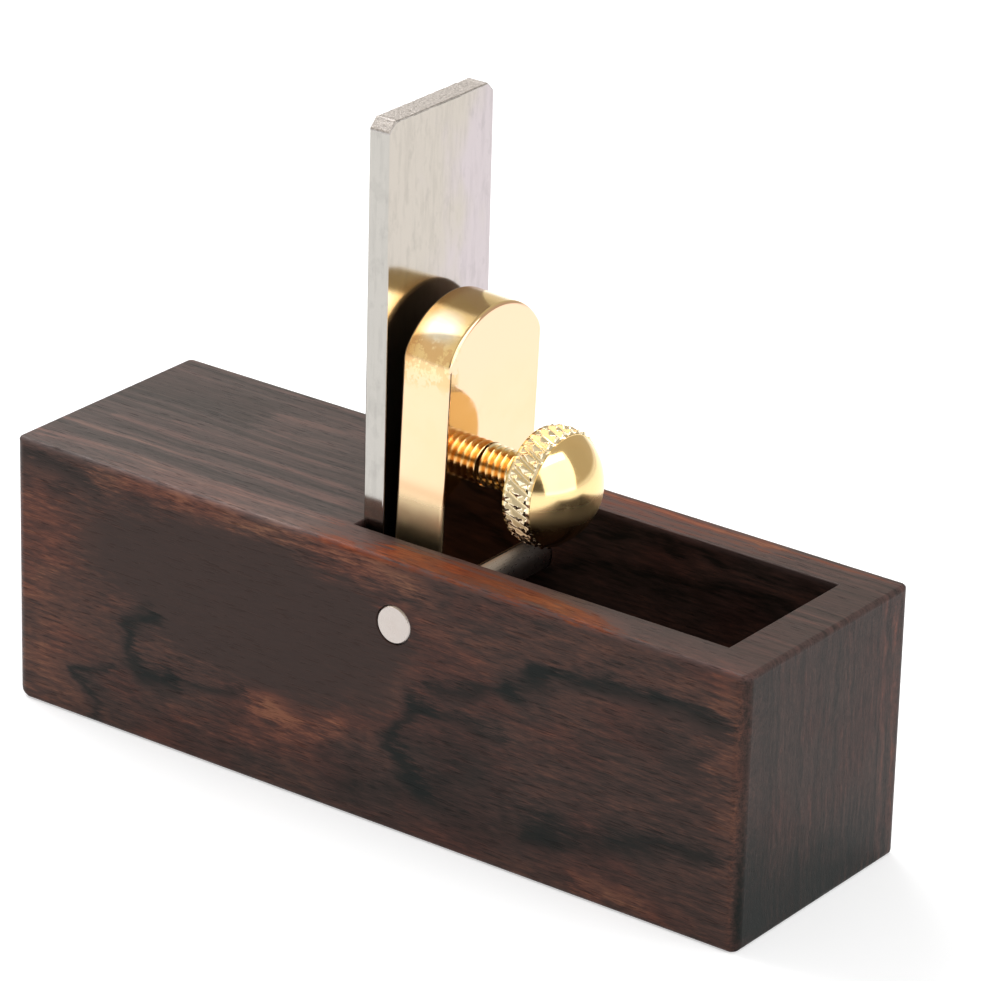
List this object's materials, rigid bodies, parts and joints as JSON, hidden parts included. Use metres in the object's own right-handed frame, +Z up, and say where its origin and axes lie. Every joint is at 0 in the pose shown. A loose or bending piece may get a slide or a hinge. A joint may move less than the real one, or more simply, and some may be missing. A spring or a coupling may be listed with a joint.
{
  "type": "mini hand plane",
  "caption": "Small wooden trimming plane with an upright steel iron, clamped by a brass lever cap that rocks on a steel cross pin, and a knurled thumbscrew.",
  "frame": {"origin": "on the sole, under the middle of the block", "axes": "+X from the heel to the toe, +Y across the sole, +Z up from the sole"},
  "size_m": [0.08, 0.0248, 0.0632],
  "materials": {
    "rosewood": "very dark brown hardwood, oiled, satin",
    "pin_steel": "ends ground flush with the wood",
    "blade_steel": "fine satin, ground edges",
    "cap_brass": "mirror polished",
    "stud_brass": "cut thread",
    "knob_brass": "polished dome and knurled rim"
  },
  "bodies": {
    "body": {"wooden_body": "rosewood", "cross_pin": "pin_steel"},
    "blade": {"blade": "blade_steel"},
    "cap": {"lever_cap": "cap_brass"},
    "stud": {"clamp_stud": "stud_brass"},
    "knob": {"thumb_knob": "knob_brass"}
  },
  "joints": [
    {"name": "blade_depth", "type": "slide", "parent": "body", "child": "blade", "axis": [0, 0, 1], "range_m": [-0.0008, 0.026]},
    {"name": "cap_rock", "type": "hinge", "parent": "body", "child": "cap", "pos_m": [0.00329, 0, 0.0198], "axis": [0, 1, 0], "range_deg": [-2.72, 0]},
    {"name": "screw_travel", "type": "slide", "parent": "cap", "child": "stud", "axis": [0.9994, 0, -0.0349], "range_m": [0, 0.0035]},
    {"name": "knob_turn", "type": "hinge", "parent": "stud", "child": "knob", "pos_m": [0.00928, 0, 0.0309], "axis": [0.9994, 0, -0.0349], "range_deg": [0, 1800]}
  ],
  "couplings": [
    {"joint": "knob_turn", "follows": "screw_travel", "rad_per_m": 8975.9},
    {"joint": "cap_rock", "follows": "screw_travel", "rad_per_m": -13.46}
  ]
}
